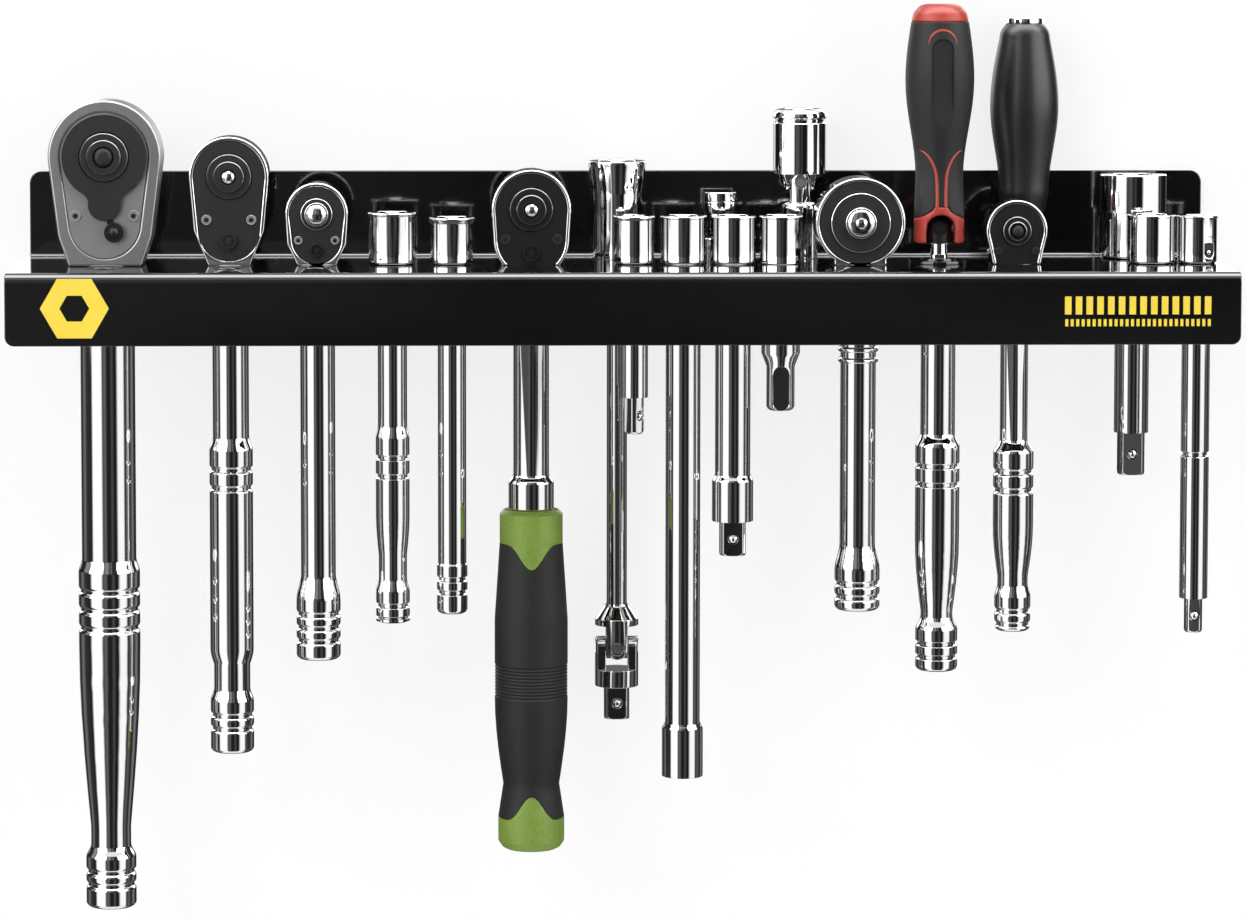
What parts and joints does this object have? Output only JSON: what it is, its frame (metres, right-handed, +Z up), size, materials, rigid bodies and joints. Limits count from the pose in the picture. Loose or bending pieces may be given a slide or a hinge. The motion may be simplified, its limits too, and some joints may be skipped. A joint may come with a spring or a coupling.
{
  "type": "wall tool rack",
  "caption": "Bent-steel wall rack whose punched shelf holds ratchets, extension bars, swivel joints and driver handles; each hangs by its head and lifts out.",
  "frame": {"origin": "on the wall plane, midway between the two wall screws", "axes": "+X along the rack to the viewer's right, +Z up, -Y out of the wall towards the viewer"},
  "size_m": [0.4496, 0.0889, 0.3381],
  "materials": {
    "powder_coat": "gloss black powder coat",
    "chrome": "polished chrome plate on forged steel",
    "satin_steel": "satin ground steel",
    "black_oxide": "oiled black oxide",
    "green_plastic": "semi-gloss moulded",
    "red_plastic": "semi-gloss moulded",
    "grip_rubber": "satin soft grip"
  },
  "bodies": {
    "rack": {"rack_shelf": "powder_coat"},
    "large_ratchet": {"large_ratchet_handle": "chrome", "large_ratchet_cover": "satin_steel", "large_ratchet_face": "black_oxide", "large_ratchet_screws": "black_oxide"},
    "large_drive": {"large_ratchet_drive": "black_oxide"},
    "large_button": {"large_ratchet_button": "black_oxide"},
    "large_lever": {"large_ratchet_lever": "black_oxide"},
    "medium_ratchet": {"medium_ratchet_handle": "chrome", "medium_ratchet_cover": "black_oxide", "medium_ratchet_screws": "black_oxide"},
    "medium_drive": {"medium_ratchet_drive": "black_oxide"},
    "medium_button": {"medium_ratchet_button": "chrome"},
    "medium_selector": {"medium_ratchet_selector": "black_oxide"},
    "small_ratchet": {"small_ratchet_handle": "chrome", "small_ratchet_cover": "black_oxide", "small_ratchet_screws": "black_oxide"},
    "small_drive": {"small_ratchet_drive": "chrome"},
    "small_selector": {"small_ratchet_selector": "black_oxide"},
    "shaped_bar": {"shaped_bar": "chrome"},
    "plain_bar": {"plain_bar": "chrome"},
    "grip_ratchet": {"grip_ratchet_handle": "chrome", "grip_ratchet_cover": "black_oxide", "grip_ratchet_screws": "black_oxide", "grip_ratchet_core": "green_plastic", "grip_ratchet_sleeve": "grip_rubber"},
    "grip_drive": {"grip_ratchet_drive": "black_oxide"},
    "grip_button": {"grip_ratchet_button": "chrome"},
    "grip_selector": {"grip_ratchet_selector": "black_oxide"},
    "swivel_bar": {"swivel_bar": "chrome"},
    "swivel_spider": {"swivel_spider": "satin_steel"},
    "swivel_tip": {"swivel_tip": "chrome"},
    "short_extension": {"short_extension": "chrome"},
    "long_socket_bar": {"long_socket_bar": "chrome"},
    "locking_extension": {"locking_extension": "chrome"},
    "locking_collar": {"locking_collar": "satin_steel"},
    "medium_extension": {"medium_extension": "chrome"},
    "joint_base": {"universal_joint_base": "chrome"},
    "joint_spider": {"universal_joint_spider": "satin_steel"},
    "joint_cup": {"universal_joint_cup": "chrome"},
    "stub_extension": {"stub_extension": "chrome"},
    "round_ratchet": {"round_ratchet_handle": "chrome", "round_ratchet_face": "black_oxide"},
    "round_drive": {"round_ratchet_drive": "black_oxide"},
    "round_button": {"round_ratchet_button": "chrome"},
    "socket_handle": {"socket_handle": "chrome"},
    "red_shank": {"red_driver_shank": "black_oxide"},
    "red_grip": {"red_driver_core": "red_plastic", "red_driver_sleeve": "grip_rubber", "red_driver_pin": "satin_steel"},
    "black_driver": {"black_driver_grip": "grip_rubber", "black_driver_shank": "chrome"},
    "short_ratchet": {"short_ratchet_handle": "chrome", "short_ratchet_cover": "black_oxide", "short_ratchet_screws": "black_oxide"},
    "short_drive": {"short_ratchet_drive": "black_oxide"},
    "short_button": {"short_ratchet_button": "chrome"},
    "large_adapter": {"large_adapter": "chrome"},
    "plain_socket": {"plain_socket": "chrome"},
    "slim_extension": {"slim_extension": "chrome"}
  },
  "joints": [
    {"name": "large_drive_turn", "type": "hinge", "parent": "large_ratchet", "child": "large_drive", "pos_m": [-0.19092, -0.0435, 0.0235], "axis": [0, 1, 0], "continuous": true},
    {"name": "medium_drive_turn", "type": "hinge", "parent": "medium_ratchet", "child": "medium_drive", "pos_m": [-0.14522, -0.0435, 0.016], "axis": [0, 1, 0], "continuous": true},
    {"name": "small_drive_turn", "type": "hinge", "parent": "small_ratchet", "child": "small_drive", "pos_m": [-0.11282, -0.0435, 0.002], "axis": [0, 1, 0], "continuous": true},
    {"name": "grip_drive_turn", "type": "hinge", "parent": "grip_ratchet", "child": "grip_drive", "pos_m": [-0.03322, -0.0435, 0.0037], "axis": [0, 1, 0], "continuous": true},
    {"name": "round_drive_turn", "type": "hinge", "parent": "round_ratchet", "child": "round_drive", "pos_m": [0.08893, -0.0435, -0.0013], "axis": [0, 1, 0], "continuous": true},
    {"name": "short_drive_turn", "type": "hinge", "parent": "short_ratchet", "child": "short_drive", "pos_m": [0.14733, -0.0435, -0.0045], "axis": [0, 1, 0], "continuous": true},
    {"name": "large_button_press", "type": "slide", "parent": "large_drive", "child": "large_button", "axis": [0, 1, 0], "range_m": [0, 0.0012], "stiffness_N_per_m": 250},
    {"name": "medium_button_press", "type": "slide", "parent": "medium_drive", "child": "medium_button", "axis": [0, 1, 0], "range_m": [0, 0.0012], "stiffness_N_per_m": 250},
    {"name": "grip_button_press", "type": "slide", "parent": "grip_drive", "child": "grip_button", "axis": [0, 1, 0], "range_m": [0, 0.0012], "stiffness_N_per_m": 250},
    {"name": "round_button_press", "type": "slide", "parent": "round_drive", "child": "round_button", "axis": [0, 1, 0], "range_m": [0, 0.0012], "stiffness_N_per_m": 250},
    {"name": "short_button_press", "type": "slide", "parent": "short_drive", "child": "short_button", "axis": [0, 1, 0], "range_m": [0, 0.0012], "stiffness_N_per_m": 250},
    {"name": "large_lever_swing", "type": "hinge", "parent": "large_ratchet", "child": "large_lever", "pos_m": [-0.19092, -0.0435, 0.0059], "axis": [0, 1, 0], "range_deg": [0, 37.5]},
    {"name": "medium_selector_turn", "type": "hinge", "parent": "medium_ratchet", "child": "medium_selector", "pos_m": [-0.14522, -0.0435, -0.0078], "axis": [0, 1, 0], "range_deg": [-25, 25]},
    {"name": "small_selector_turn", "type": "hinge", "parent": "small_ratchet", "child": "small_selector", "pos_m": [-0.11282, -0.0435, -0.0113], "axis": [0, 1, 0], "range_deg": [-25, 25]},
    {"name": "grip_selector_turn", "type": "hinge", "parent": "grip_ratchet", "child": "grip_selector", "pos_m": [-0.03322, -0.0435, -0.0124], "axis": [0, 1, 0], "range_deg": [-25, 25]},
    {"name": "swivel_bar_pins", "type": "hinge", "parent": "swivel_bar", "child": "swivel_spider", "pos_m": [-0.0003, -0.016, -0.1652], "axis": [0, 1, 0], "range_deg": [-30, 30]},
    {"name": "swivel_tip_pins", "type": "hinge", "parent": "swivel_spider", "child": "swivel_tip", "pos_m": [-0.0003, -0.016, -0.1652], "axis": [1, 0, 0], "range_deg": [-15, 15]},
    {"name": "joint_base_pins", "type": "hinge", "parent": "joint_base", "child": "joint_spider", "pos_m": [0.0688, -0.016, 0.012], "axis": [0, 1, 0], "range_deg": [-20, 20]},
    {"name": "joint_cup_pins", "type": "hinge", "parent": "joint_spider", "child": "joint_cup", "pos_m": [0.0688, -0.016, 0.012], "axis": [1, 0, 0], "range_deg": [-10, 20]},
    {"name": "locking_collar_slide", "type": "slide", "parent": "locking_extension", "child": "locking_collar", "axis": [0, 0, -1], "range_m": [0, 0.004], "stiffness_N_per_m": 150, "springref_m": -0.002},
    {"name": "red_driver_tilt", "type": "hinge", "parent": "red_shank", "child": "red_grip", "pos_m": [0.11883, -0.0435, -0.0039], "axis": [1, 0, 0], "range_deg": [-15, 75]},
    {"name": "large_ratchet_lift", "type": "slide", "parent": "rack", "child": "large_ratchet", "axis": [0, 0, 1], "range_m": [0, 0.252]},
    {"name": "medium_ratchet_lift", "type": "slide", "parent": "rack", "child": "medium_ratchet", "axis": [0, 0, 1], "range_m": [0, 0.195]},
    {"name": "small_ratchet_lift", "type": "slide", "parent": "rack", "child": "small_ratchet", "axis": [0, 0, 1], "range_m": [0, 0.16]},
    {"name": "shaped_bar_lift", "type": "slide", "parent": "rack", "child": "shaped_bar", "axis": [0, 0, 1], "range_m": [0, 0.147]},
    {"name": "plain_bar_lift", "type": "slide", "parent": "rack", "child": "plain_bar", "axis": [0, 0, 1], "range_m": [0, 0.142]},
    {"name": "grip_ratchet_lift", "type": "slide", "parent": "rack", "child": "grip_ratchet", "axis": [0, 0, 1], "range_m": [0, 0.075]},
    {"name": "swivel_bar_lift", "type": "slide", "parent": "rack", "child": "swivel_bar", "axis": [0, 0, 1], "range_m": [0, 0.188]},
    {"name": "short_extension_lift", "type": "slide", "parent": "rack", "child": "short_extension", "axis": [0, 0, 1], "range_m": [0, 0.075]},
    {"name": "long_socket_bar_lift", "type": "slide", "parent": "rack", "child": "long_socket_bar", "axis": [0, 0, 1], "range_m": [0, 0.205]},
    {"name": "locking_extension_lift", "type": "slide", "parent": "rack", "child": "locking_extension", "axis": [0, 0, 1], "range_m": [0, 0.04]},
    {"name": "medium_extension_lift", "type": "slide", "parent": "rack", "child": "medium_extension", "axis": [0, 0, 1], "range_m": [0, 0.121]},
    {"name": "joint_base_lift", "type": "slide", "parent": "rack", "child": "joint_base", "axis": [0, 0, 1], "range_m": [0, 0.03]},
    {"name": "stub_extension_lift", "type": "slide", "parent": "rack", "child": "stub_extension", "axis": [0, 0, 1], "range_m": [0, 0.068]},
    {"name": "round_ratchet_lift", "type": "slide", "parent": "rack", "child": "round_ratchet", "axis": [0, 0, 1], "range_m": [0, 0.143]},
    {"name": "socket_handle_lift", "type": "slide", "parent": "rack", "child": "socket_handle", "axis": [0, 0, 1], "range_m": [0, 0.172]},
    {"name": "red_shank_lift", "type": "slide", "parent": "socket_handle", "child": "red_shank", "axis": [0, 0, 1], "range_m": [0, 0.03]},
    {"name": "black_driver_lift", "type": "slide", "parent": "rack", "child": "black_driver", "axis": [0, 0, 1], "range_m": [0, 0.038]},
    {"name": "short_ratchet_lift", "type": "slide", "parent": "rack", "child": "short_ratchet", "axis": [0, 0, 1], "range_m": [0, 0.15]},
    {"name": "large_adapter_lift", "type": "slide", "parent": "rack", "child": "large_adapter", "axis": [0, 0, 1], "range_m": [0, 0.095]},
    {"name": "plain_socket_lift", "type": "slide", "parent": "rack", "child": "plain_socket", "axis": [0, 0, 1], "range_m": [0, 0.032]},
    {"name": "slim_extension_lift", "type": "slide", "parent": "rack", "child": "slim_extension", "axis": [0, 0, 1], "range_m": [0, 0.15]}
  ]
}
